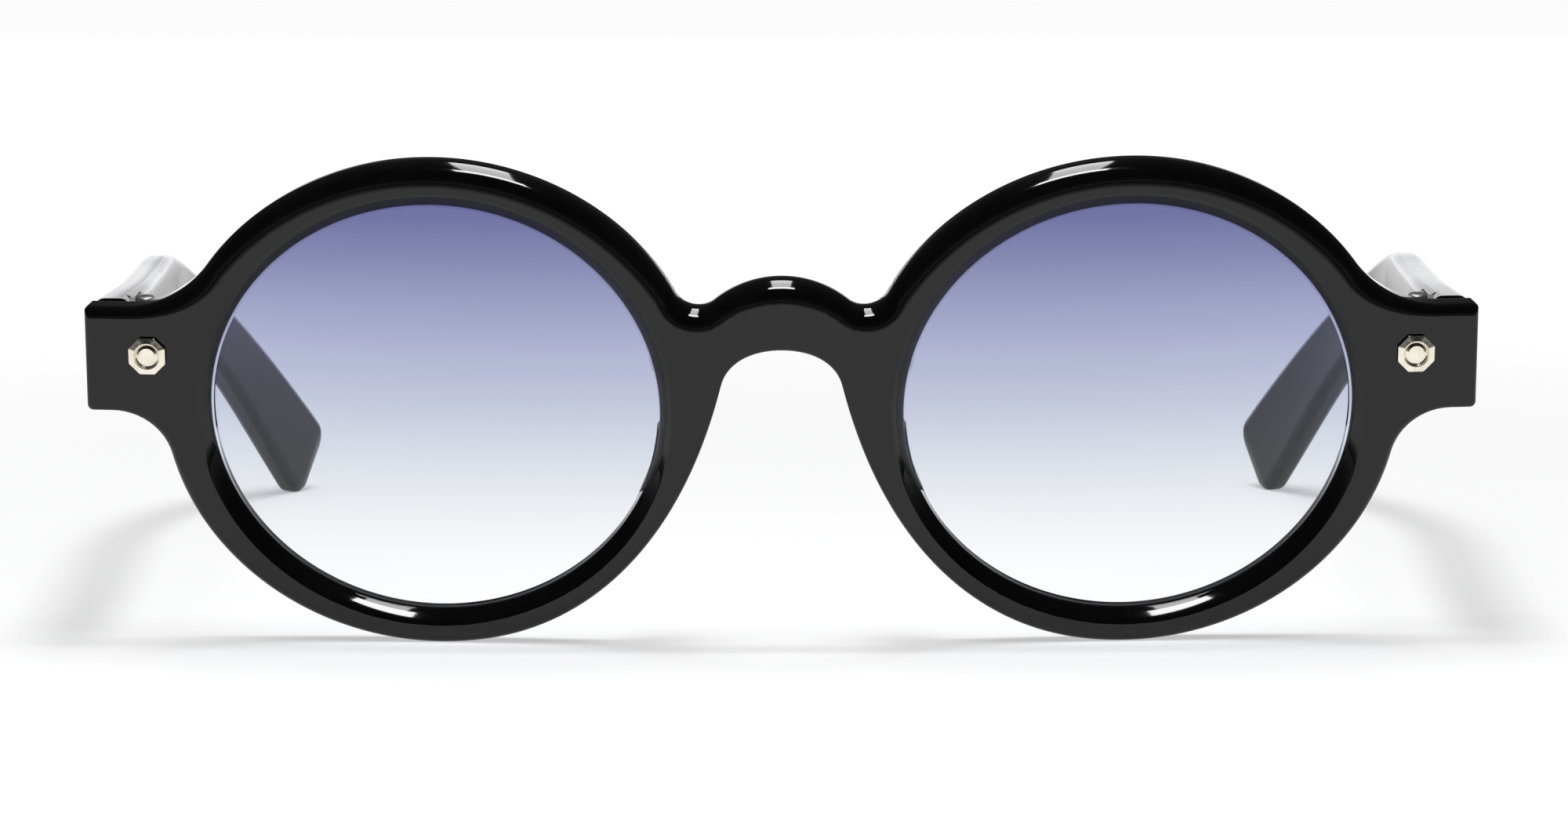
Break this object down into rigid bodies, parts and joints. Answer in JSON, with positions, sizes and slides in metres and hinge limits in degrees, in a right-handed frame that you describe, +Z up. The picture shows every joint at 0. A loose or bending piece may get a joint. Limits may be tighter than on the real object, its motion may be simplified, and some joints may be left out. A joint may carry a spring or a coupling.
{
  "type": "round sunglasses",
  "caption": "Round sunglasses with a thick glossy front, gradient tinted lenses and folding temples on riveted five-barrel hinges.",
  "frame": {"origin": "on the table, midway between the temples and halfway along the depth, under the middle of the overall box", "axes": "+Z up, +Y from the front towards the temple tips, +X towards the viewer's right when the viewer faces the front"},
  "size_m": [0.148, 0.142, 0.0506],
  "materials": {
    "black_acetate": "polished",
    "gradient_lens": "blue-violet tint at the top fading to clear at the bottom",
    "pale_gold": "plated, polished",
    "hinge_steel": "satin"
  },
  "bodies": {
    "front": {"front_frame": "black_acetate", "lens_left": "gradient_lens", "lens_right": "gradient_lens", "nose_pad_left": "black_acetate", "nose_pad_right": "black_acetate", "front_rivet_left": "pale_gold", "front_rivet_right": "pale_gold", "front_hinge_leaf_left": "hinge_steel", "front_hinge_leaf_right": "hinge_steel", "hinge_screw_left": "hinge_steel", "hinge_screw_right": "hinge_steel"},
    "temple_left": {"temple_left": "black_acetate", "temple_hinge_leaf_left": "hinge_steel", "temple_rivet_left": "pale_gold", "core_wire_left": "hinge_steel"},
    "temple_right": {"temple_right": "black_acetate", "temple_hinge_leaf_right": "hinge_steel", "temple_rivet_right": "pale_gold", "core_wire_right": "hinge_steel"}
  },
  "joints": [
    {"name": "temple_left_fold", "type": "hinge", "parent": "front", "child": "temple_left", "pos_m": [-0.06576, -0.0588, 0.031], "axis": [0, 0.1566, -0.9877], "range_deg": [0, 88]},
    {"name": "temple_right_fold", "type": "hinge", "parent": "front", "child": "temple_right", "pos_m": [0.06576, -0.0588, 0.031], "axis": [0, -0.1566, 0.9877], "range_deg": [0, 80]}
  ]
}
